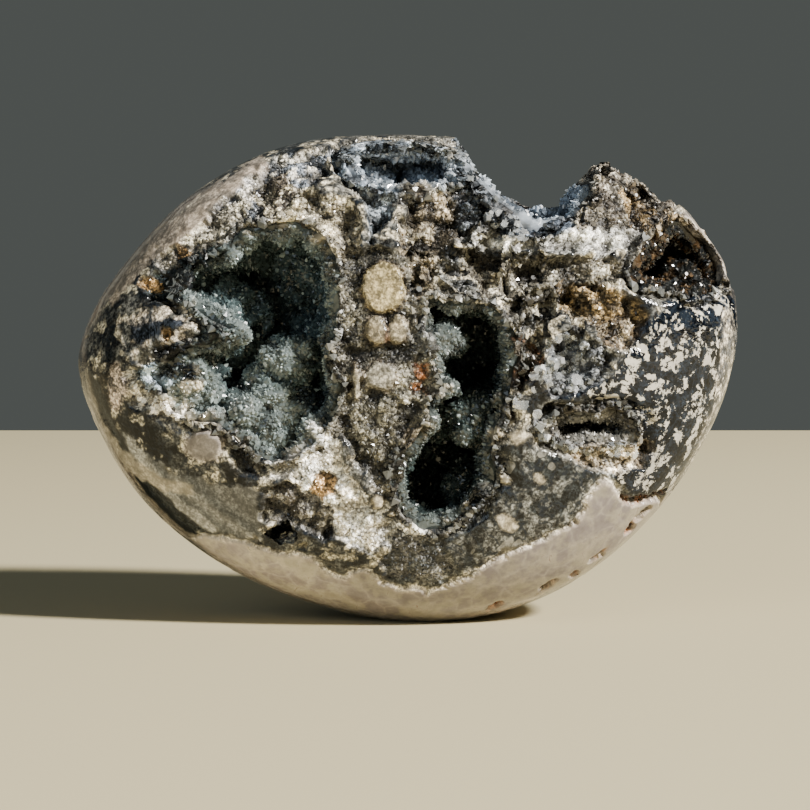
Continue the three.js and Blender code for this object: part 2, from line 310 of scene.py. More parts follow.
def mark(outline, colour, other=None, rough=None, deep=None, lumps=None, snowy=None, still=None,
         edge=0.6, stray=1.6, grow=0.0):
    """Marks a part of the face: its colour and the colour of its patches, how rough, deep (mm), lumpy,
    snowy and still it is, how soft and ragged its edge is (mm), and how far it grows past its outline."""
    within = inside(placed, outline) + (ragged * stray + grow * mm)
    share = smooth_step(within, -edge * mm, edge * mm) * front
    tone = np.array(colour) + patch[:, None] * (np.array(colour if other is None else other) - colour)
    paint[:] += share[:, None] * (tone - paint)
    for field, wanted in ((grain, rough), (lumpy, lumps), (snow, snowy), (calm, still)):
        if wanted is not None:
            field[:] += share * (wanted - field)
    if deep is not None:
        slope = smooth_step(within, -edge * mm, (edge + 1.2 * deep) * mm) * front
        sunk[:] += slope * (deep * mm - sunk)
    return share


def ringed(outline, ring, width, colour, other=None, **more):
    """Marks a blob of one colour with a ring of another, this wide in mm, around it."""
    mark(outline, ring, grow=width, stray=0.7, edge=0.7)
    mark(outline, colour, other, stray=0.7, edge=0.6, **more)


def spot(x, z, wide, high, turn=0):
    """An oval outline about x and z, turned by some degrees."""
    turn = math.radians(turn)
    around = np.linspace(0, 2 * math.pi, 16, endpoint=False)
    across, up = wide * np.cos(around), high * np.sin(around)
    return np.stack([x + across * math.cos(turn) - up * math.sin(turn),
                     z + across * math.sin(turn) + up * math.cos(turn)], 1)


# The rough rock across the top, from the left shoulder to the peak
mark([[-60, 122], [-54.5, 129.5], [-47, 135.5], [-39.5, 140], [-24.5, 142], [-23, 134], [-31.5, 131],
      [-36, 128], [-42.5, 122], [-49, 119]], [0.27, 0.29, 0.32], WHITE, rough=1, deep=0.6)
mark([[-47, 131], [-38, 137], [-33, 131], [-36, 124], [-43, 123]], [0.19, 0.17, 0.145], CREAM, rough=1,
     deep=0.8)
mark([[-34.5, 108.5], [-36, 115], [-38, 122], [-34.5, 129.5], [-29, 131.5], [-24.5, 128], [-18.5, 128],
      [-14, 122], [-13.5, 114.5], [-15.5, 108.5], [-20.5, 108.5], [-24, 114], [-30, 118]],
     [0.78, 0.73, 0.61], [0.48, 0.44, 0.35], rough=0.8, deep=0.3, lumps=1.3)
mark([[-76.5, 110.5], [-70.5, 116.5], [-63, 122], [-57, 125], [-49.5, 129.5], [-46.5, 126.5], [-51.5, 122],
      [-55, 117], [-61, 112], [-67, 108.5], [-73, 105.5]], [0.70, 0.66, 0.56], [0.36, 0.34, 0.30],
     rough=0.8, deep=0.3)
mark([[-23, 141.5], [-11.5, 144.5], [6.5, 144], [17, 138.5], [18, 133], [9.5, 131], [-2.5, 129.5],
      [-8, 117.5], [-10.5, 114.5], [-12.5, 126.5], [-17, 132.5], [-21.5, 135.5]], [0.30, 0.34, 0.385],
     [0.46, 0.50, 0.54], rough=1, deep=1.2, lumps=1.6)
mark([[2, 129.5], [9.5, 130], [16.5, 127.5], [22.5, 123.5], [18, 116], [13.5, 114.5], [9, 109], [7, 100.5],
      [3.5, 97.5], [0.5, 103], [-2.5, 112], [-1, 122]], BROWN, TAN, rough=1, deep=2, lumps=2)
mark([[-2.5, 121], [2, 123], [6.5, 122], [7.5, 119], [5, 116], [0, 116], [-2.5, 118]], CREAM, TAN,
     rough=0.8, deep=0.6)

# The septum between the two great hollows: sugary rock with polished cream ovals in a row
mark([[-20.5, 108.5], [-16.5, 111.5], [-10.5, 112.5], [-4, 112], [0, 109.5], [1, 100.5], [1, 89], [5, 84.5],
      [9, 82.5], [6.5, 74.5], [5, 65.5], [6, 57], [3, 51], [-2.5, 48], [-4.5, 43.5], [-8, 42.5], [-14, 48],
      [-17.5, 55.5], [-21, 60], [-20.5, 68.5], [-20.5, 80], [-21, 91.5]], [0.32, 0.305, 0.26],
     [0.13, 0.124, 0.103], rough=0.9, deep=0.4)
ringed(spot(-7.4, 101.3, 6.4, 7.6), SHADE, 0.9, [0.44, 0.38, 0.25], [0.35, 0.305, 0.20], rough=0.45, deep=0,
       still=0.3)
for x, z, wide in ((-8.9, 88.6, 3.5), (-3.3, 88.9, 3.2)):
    ringed(spot(x, z, wide, 4.3), SHADE, 0.8, [0.40, 0.355, 0.265], [0.31, 0.28, 0.215], rough=0.45, deep=0,
           still=0.3)
mark([[-6.4, 92], [-5.6, 92], [-5.4, 85.6], [-6.3, 85.6]], [0.36, 0.25, 0.19], edge=0.6, stray=0.4)
ringed(spot(-8, 75.4, 4.5, 4.2), SHADE, 0.8, [0.43, 0.405, 0.345], [0.33, 0.312, 0.265], rough=0.45, deep=0,
       still=0.3)
ringed([[-16, 79.5], [-15, 80], [-14, 77], [-14, 71.5], [-14.5, 68], [-16, 69]], SHADE, 0.5, CREAM, TAN,
       rough=0.5, deep=0, still=0.3)
mark([[2, 80], [5.5, 79], [5, 71], [1.5, 72]], RUST, TAN, rough=0.9)
mark(spot(1.8, 57.5, 3.4, 3.8), CREAM, TAN, rough=0.7, deep=0.3)
mark([[0.5, 89], [5, 91], [10.5, 90], [13.5, 86], [11.5, 82.5], [6.5, 82], [1, 83]], [0.25, 0.25, 0.24],
     rough=0.8)

# The left end: dark polished rock with pale streaks, and the lens of bands beside the left hollow
# The pink-cream rim along the upper left, toned down partly as painted shade on the side away from the key
mark([[-90.5, 99], [-84, 108.5], [-77.5, 115.5], [-72, 120], [-65, 125.5], [-57.5, 131.5], [-47.5, 138],
      [-44, 141], [-41.5, 137.5], [-48.5, 133], [-55, 127], [-60, 122], [-64, 117], [-70.5, 113],
      [-76.5, 108.5], [-82.5, 101.5], [-88, 95.5]], [0.46, 0.405, 0.345], [0.31, 0.28, 0.245], rough=0.15,
     still=0.5)
mark([[-86, 90.5], [-80.5, 93], [-75, 94.5], [-69, 95.5], [-65, 94], [-63, 90.5], [-64, 86], [-68, 84],
      [-73, 82], [-78, 80], [-82.5, 82], [-85, 86]], [0.60, 0.54, 0.455], GREY, rough=0.4)
mark([[-81.5, 89.5], [-76, 92], [-69.5, 92], [-66.5, 90.5], [-69, 87.5], [-74, 85.5], [-78.5, 84],
      [-82, 86]], [0.10, 0.11, 0.13], BLUE_BLACK, rough=0.3)
mark([[-85.5, 76], [-81, 78], [-78, 72.5], [-72.5, 68.5], [-65, 67], [-59, 64.5], [-53, 67], [-49.5, 63],
      [-53.5, 60], [-60.5, 61], [-69.5, 62.5], [-76.5, 63.5], [-80.5, 65.5], [-83.5, 69]], WHITE, CREAM,
     rough=0.8)
mark([[-88, 77.5], [-84.5, 78.5], [-83.5, 72], [-85, 65], [-88, 64], [-89, 70]], PINK_CREAM, rough=0.1)
mark([[-92, 75.5], [-88, 76.5], [-89.5, 70], [-88, 63], [-86.5, 58], [-89.5, 58], [-92, 65.5]], BROWN,
     rough=0.2)

# The lower left edge, where the grinding cuts through bands of agate that run along the rim
RIM_BANDS = [(0, PINK_CREAM), (2.0, PINK_CREAM), (2.6, SHADE), (3.4, [0.34, 0.30, 0.24]), (4.6, BLUE_BLACK),
             (6.4, [0.10, 0.105, 0.10]), (8.0, BLUE_BLACK), (9.0, [0.46, 0.45, 0.42]),
             (11.0, [0.42, 0.41, 0.385]), (12.2, OLIVE), (15.0, [0.38, 0.37, 0.345]), (17.5, OLIVE),
             (21.0, [0.27, 0.265, 0.25])]
from_rim = inside(placed, rounded(OVAL_OUTLINE, 6) / mm) / mm + blotch * 1.6 + ragged / mm * 0.5
band_depths = [depth for depth, _ in RIM_BANDS]
rim_tone = [np.interp(from_rim, band_depths, [tone[i] for _, tone in RIM_BANDS]) for i in range(3)]
mark([[-101, 84], [-92, 72], [-87, 60], [-79, 53.5], [-70, 46.5], [-62, 45], [-52, 43], [-44, 41],
      [-43, 26.5], [-52, 20], [-70, 15], [-100, 40]], np.stack(rim_tone, 1), rough=0.15, still=0.45)
mark([[-90, 59.5], [-86, 53.5], [-79.5, 48.5], [-72, 44.5], [-63.5, 42.5], [-63, 39.5], [-73, 40.5],
      [-81.5, 44.5], [-88, 49.5], [-92, 57]], [0.58, 0.53, 0.44], [0.46, 0.42, 0.35], rough=0.1, still=0.7,
     stray=0.8)
ringed([[-64.5, 56.5], [-62, 58], [-58.5, 59], [-55, 57.5], [-54.5, 55], [-56, 51.5], [-59.5, 50],
        [-63, 51], [-64.5, 53.5]], [0.52, 0.47, 0.41], 0.9, [0.34, 0.31, 0.285], [0.42, 0.385, 0.35],
       rough=0.05, deep=0, still=0.8)

# Shallow druse beside the left hollow: its dark wing and the mass across it, darkened partly as painted
# shade, a bright blue-white patch that is painted light, a near-black void that is painted shade, and a
# bright ridge
mark([[-78.5, 100.5], [-76.5, 105.5], [-71.5, 108.5], [-64, 110], [-56.5, 113], [-49, 115], [-42.5, 115],
      [-42.5, 108.5], [-49, 101.5], [-56.5, 99.5], [-60.5, 96.5], [-67.5, 98], [-73, 97], [-76.5, 97.5]],
     SHADED_DARK_DRUSE, [0.095, 0.112, 0.113], rough=1, deep=3, lumps=1.3, stray=1)
mark([[-71.5, 97], [-60.5, 96.5], [-52, 100], [-42.5, 100.5], [-39.5, 94.5], [-42.5, 91], [-49, 88.5],
      [-53, 84.5], [-59, 82], [-62, 80], [-63.5, 84], [-62, 90], [-63.5, 95], [-68, 96.5]],
     [0.09, 0.108, 0.107], [0.155, 0.175, 0.171], rough=1, deep=1.4, lumps=1.4)
# Painted light: a bright blue-white patch where light falls on the druse
mark([[-82, 76], [-75.5, 79], [-68, 78.5], [-60.5, 79.5], [-56, 75.5], [-54, 70], [-51, 65.5], [-56, 64.5],
      [-62, 66], [-66.5, 69.5], [-74, 71.5], [-79.5, 72]], [0.74, 0.82, 0.87], [0.44, 0.50, 0.54],
     rough=0.8, deep=1, lumps=1.4)
# Painted shade: a near-black void
mark([[-75.5, 84], [-71, 85], [-65, 86], [-63, 83.5], [-64, 80.5], [-69.5, 79], [-74, 80.5]],
     [0.03, 0.034, 0.037], rough=1, deep=4, lumps=0.5, stray=1)
mark([[-82.5, 74], [-79, 69.5], [-74, 67.5], [-65, 68], [-57.5, 64.5], [-53.5, 64], [-56.5, 61], [-62, 63],
      [-69.5, 64], [-77.5, 65], [-81.5, 68.5]], [1.0, 0.97, 0.91], [0.66, 0.62, 0.54], rough=0.7, deep=0.2,
     lumps=1.4)
for x, z in ((-77.5, 103), (-67.5, 111), (-71, 86.5)):
    mark(spot(x, z, 2.4, 1.8), [0.46, 0.33, 0.18], rough=0.8, deep=0.3)

# Under the hollows: the bright sugary mound, the brown crusty patch with its pit, and the grey patch
mark([[-42.5, 42.5], [-36, 44.5], [-28.5, 42], [-21.5, 39], [-17, 35.5], [-18.5, 30], [-24.5, 27],
      [-31.5, 30], [-37.5, 31.5], [-43, 32.5]], [0.20, 0.185, 0.165], [0.38, 0.365, 0.34], rough=0.9,
     deep=0.8)
mark([[-35.5, 54], [-28.5, 57], [-24, 59], [-19.5, 57], [-18.5, 48], [-14, 43.5], [-10.5, 38], [-6, 35],
      [-3, 30.5], [-7, 25], [-14, 23.5], [-20, 27], [-23, 34.5], [-26, 40], [-31.5, 41.5], [-34.5, 45],
      [-40, 45.5], [-42.5, 49.5]], [1.0, 0.99, 0.96], [0.88, 0.84, 0.76], rough=0.62, deep=0, lumps=1.2)
mark(spot(-25, 43, 3.5, 4.5, -30), [0.62, 0.47, 0.30], rough=1)
mark([[-9.5, 39.5], [-5.5, 38], [0.5, 33.5], [5, 29.5], [2, 26], [-4, 24], [-8, 25.5], [-10.5, 32]],
     [0.95, 0.93, 0.88], [0.60, 0.57, 0.51], rough=0.7, deep=0.2)
mark([[-45, 26.5], [-40.5, 23.5], [-33.5, 23.5], [-30, 27], [-29, 24.5], [-32, 21], [-41, 21.5],
      [-45.5, 24]], CREAM, rough=0.9)
mark([[-8, 21], [-5.5, 25.5], [0.5, 27.5], [9.5, 27.5], [16, 25.5], [21, 22.5], [18, 18], [12.5, 14],
      [6, 10], [-2.5, 12.5], [-7, 14.5]], [0.13, 0.135, 0.135], [0.24, 0.235, 0.225], rough=0.6, deep=0.3)

# The right half: the broken ledge, the golden crumbs, the icy crystals and the snowflake marks
mark([[22, 118], [20, 128], [30, 133], [44, 130], [52, 124], [46, 117], [34, 115.5]], BLUE_GREY, BLUE_BLACK,
     rough=1, deep=4, lumps=1.5)
mark([[14, 118], [14, 150], [52, 150], [54, 128], [44, 124], [30, 126], [24, 124]], [0.10, 0.115, 0.13],
     [0.24, 0.26, 0.28], rough=1, deep=1, lumps=1.5)
mark([[14.5, 112], [26.5, 111.5], [44, 110.5], [59, 110.5], [65, 107.5], [61, 101.5], [53, 102.5],
      [44.5, 100.5], [42.5, 94.5], [35.5, 92], [26.5, 94], [22, 97.5], [20, 103], [15.5, 108.5]],
     [0.40, 0.38, 0.325], [0.20, 0.185, 0.155], rough=1, deep=2, lumps=1.6)
mark([[30, 92.5], [27, 97], [28, 101.5], [24, 107], [22, 106], [25, 100], [24, 96], [28, 91]], CREAM, GREY,
     rough=0.9, deep=0.8)
mark([[50, 118], [50, 131], [57, 146], [75, 142], [84, 130], [80, 118], [71, 113], [62, 114]],
     [0.14, 0.125, 0.105], [0.37, 0.345, 0.30], rough=1, deep=0, lumps=1.2)
mark([[63, 130], [67, 134], [73, 131], [78, 124], [74, 119], [67, 121]], GOLD, BROWN, rough=1, deep=1.5,
     lumps=2)
mark([[72, 127], [84, 124], [90, 116], [80, 118], [72, 115]], GOLD, BROWN, rough=1, deep=1, lumps=1.5)
# The top of the ledge: white crystals, made near white partly as painted light on its top
mark([[13.5, 117], [19.5, 118], [26.5, 116], [35.5, 115], [44, 117], [53, 119], [62, 120], [69.5, 118.5],
      [68, 113.5], [59, 111.5], [48.5, 111.5], [38.5, 112], [28, 112], [21, 112.5], [15.5, 113]],
     [1.0, 0.99, 0.95], [0.74, 0.73, 0.68], rough=0.75, deep=0.2, lumps=1.6, still=0.3)
mark([[44, 101.5], [50, 103.5], [56, 102.5], [61.5, 100], [67.5, 97.5], [70.5, 92], [67.5, 87], [60, 87],
      [55, 91.5], [48.5, 92], [44, 96]], GOLD, [0.15, 0.125, 0.09], rough=1, deep=1.6, lumps=2)
mark([[55.5, 91.5], [63, 92], [69, 90], [70.5, 84], [66, 81.5], [58.5, 83], [55.5, 86.5]],
     [0.22, 0.18, 0.13], [0.40, 0.35, 0.27], rough=1, deep=0.8, lumps=1.6)
mark([[26.5, 84.5], [32.5, 87.5], [38, 84.5], [40.5, 80], [36.5, 74.5], [32.5, 70], [29, 74.5],
      [26.5, 79.5]], [0.12, 0.075, 0.045], BROWN, rough=1, deep=3.5, lumps=1.5)
mark([[40.5, 83], [44.5, 87.5], [50, 88.5], [55.5, 85.5], [60, 83], [59.5, 75.5], [55, 70.5], [48.5, 68.5],
      [42.5, 70], [39.5, 75.5]], [0.34, 0.35, 0.36], [0.10, 0.105, 0.11], rough=1, deep=0.5, lumps=1.5)
mark([[44, 68.5], [56, 72.5], [63, 81.5], [69, 90], [78, 98], [99, 101], [101.5, 81.5], [95.5, 57],
      [86, 41.5], [75.5, 31], [69, 37.5], [61, 43.5], [56, 47.5], [68, 53], [68.5, 62], [56, 68.5]],
     [0.014, 0.020, 0.029], [0.034, 0.043, 0.055], rough=0.2, snowy=1)
# Around the mouth of the slot: brownish crystals, darkened partly as painted shade of the crevice
mark([[37.5, 63], [41.5, 65.5], [48.5, 65], [56, 66], [63.5, 64.5], [68, 62], [69.5, 58.5], [65.5, 55.5],
      [59, 54.5], [53, 53.5], [47, 55.5], [42, 58]], [0.060, 0.058, 0.052], [0.24, 0.22, 0.185], rough=1,
     deep=1, lumps=1.5, grow=0.6)
mark([[47, 52], [53, 55], [59.5, 54.5], [66.5, 56], [72, 56], [73, 51.5], [68.5, 47], [61, 46], [53, 47]],
     [0.72, 0.66, 0.56], [0.36, 0.31, 0.24], rough=1, deep=0.2, lumps=1.8, snowy=0)
mark([[93.5, 94], [99, 94], [97, 60], [89.5, 44.5], [83, 37], [79.5, 40.5], [85, 50.5], [91, 65.5]],
     [0.50, 0.46, 0.39], [0.14, 0.14, 0.14], rough=0.1, snowy=0.5)
knots = mark([[9.5, 25.5], [18, 33.5], [19.5, 39], [21, 48], [23.5, 52.5], [32.5, 57], [40, 52.5],
              [53, 47.5], [60, 45], [56.5, 44.5], [53, 38.5], [49, 32.5], [40.5, 27.5], [33, 24.5],
              [23, 21], [15.5, 15.5]], [0.05, 0.055, 0.056], [0.21, 0.208, 0.19], rough=0.28, snowy=0.45)
for outline in (
    [[23.5, 60], [26, 61], [28.5, 59], [28, 57], [25, 57]],
    [[29, 58], [31.5, 59.5], [34, 59.5], [35.5, 58], [33.5, 55.5], [30.5, 55.5]],
    [[25.5, 34], [27.5, 35], [31, 33.5], [32, 31], [30, 29.5], [27, 30.5]],
    [[26.5, 46.5], [29, 46.5], [30, 45], [29, 43], [26.5, 43.5]],
    [[36.5, 47], [38.5, 47], [40, 45], [38.5, 43.5], [36.5, 44.5]],
    [[-11, 39], [-9, 40.5], [-7, 39], [-7.5, 36.5], [-10, 36.5]],
    [[-6, 35.5], [-4, 36], [-3, 34], [-4.5, 32.5], [-6.5, 33.5]],
):
    ringed(outline, BLUE_BLACK, 0.8, CREAM, [0.40, 0.36, 0.28], rough=0.2, deep=0, still=0.5, snowy=0)

# The polished band along the bottom, pale pink to cream, under a grey seam
BAND = [[-60.5, 27], [-52, 26], [-44, 23.5], [-39, 22], [-33.5, 22.5], [-28.5, 20.5], [-24.5, 17.5],
        [-19, 14], [-17, 16.5], [-13, 18], [-7.5, 13.5], [-3, 12], [2.5, 12], [6, 9.5], [9, 12.5],
        [16.5, 15], [23, 19], [34, 24.5], [42, 27.5], [49, 31.5], [52, 35], [54, 42], [58, 44.5],
        [60.5, 43], [63, 39.5], [67, 37], [74, 37.5], [95, 30], [60, -15], [0, -20], [-50, -10], [-80, 20]]
mark(BAND, [0.11, 0.115, 0.11], [0.26, 0.25, 0.22], rough=0.5, snowy=0, grow=1.8)
mark(BAND, [0.66, 0.62, 0.54], rough=0.6, snowy=0, grow=0.5, stray=1.2)
cloud = mark(BAND, PINK_CREAM, rough=0.0, deep=0, snowy=0, still=1, grow=-0.6, edge=0.9, stray=1.1)
cloud *= 1 - mark([[61, 40], [66, 38.2], [72, 38.6], [77, 41], [76, 37.5], [70, 36], [64, 36.8]], RUST,
                  BROWN, rough=0.8, deep=1.2)
RUST_SPOTS = ((69.5, 32.5, 4), (66.5, 28.5, 2), (57.5, 21, 3.5), (50, 15, 1.5), (41, 10.5, 4), (26, 5, 3))
for x, z, wide in RUST_SPOTS:
    cloud *= 1 - mark(spot(x, z, wide, 0.9, 40), [0.40, 0.20, 0.09], BROWN, rough=0.8, deep=1, still=0,
                      stray=0.9)

# The lips, where the face rolls over into the hollows, are sugary
lip *= smooth_step(calm, 0.7, 0.3)
grain = np.maximum(grain, lip)

# Relief: the rough parts lie below the polish, in lumps upon lumps, and their colour is painted paler on
# the crowns and darker between, as painted light and shade
LUMP_SIZES = (12, 6, 2.8, 1.4)
LUMP_DEPTHS = (1.9, 1.4, 0.7, 0.35)
LUMP_SHADE_SHARES = (0.25, 0.35, 0.25, 0.15)
bent = placed + np.array([noise.noise_vector(p) for p in (placed / (5 * mm)).tolist()]) * 1.6 * mm
lumps = [knobs(bent, size * mm)[0] for size in LUMP_SIZES]
rough = smooth_step(grain, 0.35, 0.8) * front
lowered = sunk * (0.6 + 0.8 * (1 - lumps[0])) + lip * (0.9 + 1.8 * (1 - lumps[1])) * mm
lowered += rough * lumpy * sum(deep * (1 - lump) for deep, lump in zip(LUMP_DEPTHS, lumps)) * mm
raised = open_rock * (lumps[1] * 2.0 + lumps[2] * 0.9 - 1.0) * (1 - 0.3 * peak) * mm
lowered *= 0.3 + 0.7 * smooth_step(crust_gap, 0, 6 * mm)
outward = read(stone, "normal")
carved = ground_off(placed + outward * (raised - lowered * (1 - behind))[:, None])
write(stone, carved)
# Painted light and shade: the paint of the rough parts is made paler on the knob crowns and darker in the
# creases between
crown = sum(share * lump for share, lump in zip(LUMP_SHADE_SHARES, lumps))
painted_relief_shade = 0.25 + 1.15 * smooth_step(crown, 0.38, 0.84)
paint *= (1 + rough * (painted_relief_shade - 1))[:, None]

# The rock is deeper and stronger in tone than flat colours are
paint = 1.3 * np.maximum(paint, 0) ** 1.5


def keep_on(piece, name, values):
    """Keeps a number or a colour for each vertex, for the material to read."""
    values = np.asarray(values, np.float32)
    if values.ndim == 1:
        piece.data.attributes.new(name, "FLOAT", "POINT").data.foreach_set("value", values)
    else:
        rgba = np.ones((len(values), 4), np.float32)
        rgba[:, :3] = values
        piece.data.attributes.new(name, "FLOAT_COLOR", "POINT").data.foreach_set("color", rgba.ravel())


keep_on(stone, "paint", paint)
keep_on(stone, "grain", grain)
keep_on(stone, "snow", snow * front)
keep_on(stone, "skin", 1 - front)
keep_on(stone, "calm", calm)
keep_on(stone, "cloud", cloud)
keep_on(stone, "knots", knots * (1 - calm))


def new_material(name):
    made = bpy.data.materials.new(name)
    made.use_nodes = True
    return made, made.node_tree, made.node_tree.nodes["Principled BSDF"]


def add(tree, kind, inputs, **settings):
    """Adds a shader node, and sets or links its inputs, which are named or numbered."""
    made = tree.nodes.new("ShaderNode" + kind)
    for key, value in settings.items():
        setattr(made, key, value)
    for key, value in inputs.items():
        if isinstance(value, bpy.types.NodeSocket):
            tree.links.new(value, made.inputs[key])
        elif made.inputs[key].type == "VECTOR":
            made.inputs[key].default_value = value[:3]
        else:
            made.inputs[key].default_value = value
    return made


def blend(tree, share, under, over):
    made = add(tree, "Mix", {0: share, 6: under, 7: over}, data_type="RGBA")
    return made.outputs[2]


def shaded(tree, colour, by):
    """A colour made lighter or darker by a number."""
    return add(tree, "VectorMath", {0: colour, "Scale": by}, operation="SCALE").outputs[0]


def spread(tree, value, low, high, least=0.0, most=1.0, smooth=True):
    kind = "SMOOTHSTEP" if smooth else "LINEAR"
    inputs = {"Value": value, "From Min": low, "From Max": high, "To Min": least, "To Max": most}
    return add(tree, "MapRange", inputs, interpolation_type=kind).outputs[0]


def mathed(tree, operation, a, b):
    return add(tree, "Math", {0: a, 1: b}, operation=operation).outputs[0]


def times(tree, a, b):
    return mathed(tree, "MULTIPLY", a, b)


def kept(tree, name, what="Fac"):
    """What is kept for each vertex under a name, as a number or as a colour."""
    return add(tree, "Attribute", {}, attribute_name=name).outputs[what]


def clouded(tree, at, size, detail, roughness, what="Fac", distortion=0.0):
    """Cloudy noise with waves of the given size."""
    inputs = {"Vector": at, "Scale": 1 / size, "Detail": detail, "Roughness": roughness}
    return add(tree, "TexNoise", {**inputs, "Distortion": distortion}).outputs[what]


def rgb(colour):
    return (*colour, 1)


chalcedony, tree, surface = new_material("chalcedony")
at = add(tree, "TexCoord", {}).outputs["Object"]
paint_at = kept(tree, "paint", "Color")
grain_at = kept(tree, "grain")
calm_at = kept(tree, "calm")

# Sugary grain: every small crystal has its own lightness
coarse = add(tree, "TexVoronoi", {"Vector": at, "Scale": 1 / (1.3 * mm)})
fine = add(tree, "TexVoronoi", {"Vector": at, "Scale": 1 / (0.6 * mm)})
coarse_tone = spread(tree, coarse.outputs["Color"], 0, 1, 0.45, 1.7, smooth=False)
fine_tone = spread(tree, fine.outputs["Color"], 0, 1, 0.6, 1.4, smooth=False)
tone = times(tree, coarse_tone, fine_tone)
even = add(tree, "Mix", {0: grain_at, 2: 1.0, 3: tone}).outputs[0]
clouds = clouded(tree, at, 7 * mm, 7.0, 0.62)
cloudy = spread(tree, clouds, 0.3, 0.7, 0.8, 1.18)
mottle = clouded(tree, at, 3.2 * mm, 9.0, 0.78)
speck = clouded(tree, at, 0.9 * mm, 3.0, 0.7)
mottled = spread(tree, mottle, 0.42, 0.58, 0.3, 1.7)
specked = spread(tree, speck, 0.38, 0.64, 0.3, 1.75)
mottled = times(tree, mottled, specked)
mottled = add(tree, "Mix", {0: calm_at, 2: mottled, 3: cloudy}).outputs[0]
rock = shaded(tree, shaded(tree, paint_at, even), mottled)

# Pores: small holes in the grain, painted as dark spots of shade
pores = clouded(tree, at, 1.5 * mm, 3.0, 0.6)
open_to_pores = spread(tree, calm_at, 0.0, 0.6, 0.9, 0.0)
open_to_pores = mathed(tree, "MAXIMUM", times(tree, open_to_pores, 0.7), grain_at)
pore = times(tree, spread(tree, pores, 0.60, 0.66), open_to_pores)
rock = blend(tree, pore, rock, rgb([0.025, 0.022, 0.02]))

# Veins: dark lines that wander through the polished rock
swirl = shaded(tree, clouded(tree, at, 9 * mm, 3.0, 0.6, "Color"), 7 * mm)
swirled = add(tree, "VectorMath", {0: at, 1: swirl}, operation="ADD").outputs[0]
polish = spread(tree, grain_at, 0.35, 0.6, 1.0, 0.0)
vein = clouded(tree, swirled, 9 * mm, 2.5, 0.55)
off = mathed(tree, "ABSOLUTE", mathed(tree, "SUBTRACT", vein, 0.5), 0.0)
polish = times(tree, polish, spread(tree, calm_at, 0.0, 0.4, 1.0, 0.0))
share = times(tree, spread(tree, off, 0.0, 0.03, 0.85, 0.0), polish)
rock = blend(tree, share, rock, rgb([0.010, 0.014, 0.020]))

# Knots: rounded pale centres in thin dark rings, in the mottled rock at the lower right
knot = add(tree, "TexVoronoi", {"Vector": swirled, "Scale": 1 / (6.5 * mm)})
reach = spread(tree, knot.outputs["Color"], 0.35, 1, 0.0, 0.5)
inward = mathed(tree, "SUBTRACT", reach, knot.outputs["Distance"])
knots_at = kept(tree, "knots")
ring_share = times(tree, spread(tree, inward, -0.06, -0.03, 0.0, 0.7), knots_at)
core_share = times(tree, spread(tree, inward, 0.0, 0.05, 0.0, 0.75), knots_at)
hue = spread(tree, knot.outputs["Color"], 0.4, 0.9)
core = blend(tree, hue, rgb([0.09, 0.09, 0.083]), rgb([0.30, 0.28, 0.23]))
core = shaded(tree, core, spread(tree, mottle, 0.4, 0.6, 0.55, 1.3))
rock = blend(tree, ring_share, rock, rgb([0.012, 0.014, 0.015]))
rock = blend(tree, core_share, rock, core)

# Cloud cells: pale seams around softly darker cells in the polished band along the bottom
cells = add(tree, "TexVoronoi", {"Vector": swirled, "Scale": 1 / (7.5 * mm)}, feature="DISTANCE_TO_EDGE")
seam = spread(tree, cells.outputs["Distance"], 0.0, 0.10, 1.0, 0.0)
in_cell = spread(tree, cells.outputs["Distance"], 0.05, 0.4, 1.03, 0.88)
patches = spread(tree, clouds, 0.42, 0.60)
band = blend(tree, patches, rgb([0.24, 0.205, 0.19]), rgb([0.345, 0.305, 0.235]))
band = shaded(tree, band, in_cell)
band = blend(tree, times(tree, seam, 0.4), band, rgb([0.42, 0.375, 0.31]))
band = shaded(tree, band, spread(tree, mottle, 0.35, 0.65, 0.84, 1.10))
# Painted light: the band is made lighter towards its left end, which the key on the right leaves in shade
across = add(tree, "SeparateXYZ", {"Vector": at}).outputs["X"]
band = shaded(tree, band, spread(tree, across, -50 * mm, 0.0, 1.8, 0.85))
crack = spread(tree, cells.outputs["Distance"], 0.0, 0.012, 1.0, 0.0)
crack = times(tree, crack, spread(tree, clouds, 0.56, 0.60))
band = blend(tree, crack, band, rgb([0.20, 0.14, 0.10]))
rock = blend(tree, kept(tree, "cloud"), rock, band)

# Snowflake marks: sharp cream blotches in the dark polish of the right half
flakes = clouded(tree, at, 4.6 * mm, 7.0, 0.72, distortion=0.25)
bar = spread(tree, kept(tree, "snow"), 0, 1, 0.9, 0.53, smooth=False)
over_bar = mathed(tree, "SUBTRACT", flakes, bar)
flake = spread(tree, over_bar, 0.0, 0.012)
rock = blend(tree, flake, rock, shaded(tree, rgb([0.50, 0.465, 0.39]), cloudy))

# Outer skin: pale banded chalcedony on the sides and the back
bands = add(tree, "TexWave", {"Vector": at, "Scale": 1 / (17 * mm), "Distortion": 9.0, "Detail": 5.0,
                              "Detail Scale": 0.7, "Detail Roughness": 0.6}, bands_direction="Y")
tint = spread(tree, bands.outputs["Fac"], 0.2, 0.7)
banded = blend(tree, tint, rgb([0.36, 0.30, 0.25]), rgb([0.54, 0.475, 0.405]))
line = times(tree, spread(tree, bands.outputs["Fac"], 0.02, 0.09, 0.75, 0.0), patches)
banded = blend(tree, line, banded, rgb([0.09, 0.07, 0.058]))
smoke = clouded(tree, at, 30 * mm, 8.0, 0.66, distortion=0.6)
banded = blend(tree, spread(tree, smoke, 0.50, 0.58), banded, rgb([0.10, 0.095, 0.09]))
banded = shaded(tree, banded, spread(tree, mottle, 0.35, 0.65, 0.65, 1.25))
whole = blend(tree, kept(tree, "skin"), rock, banded)
tree.links.new(whole, surface.inputs["Base Color"])

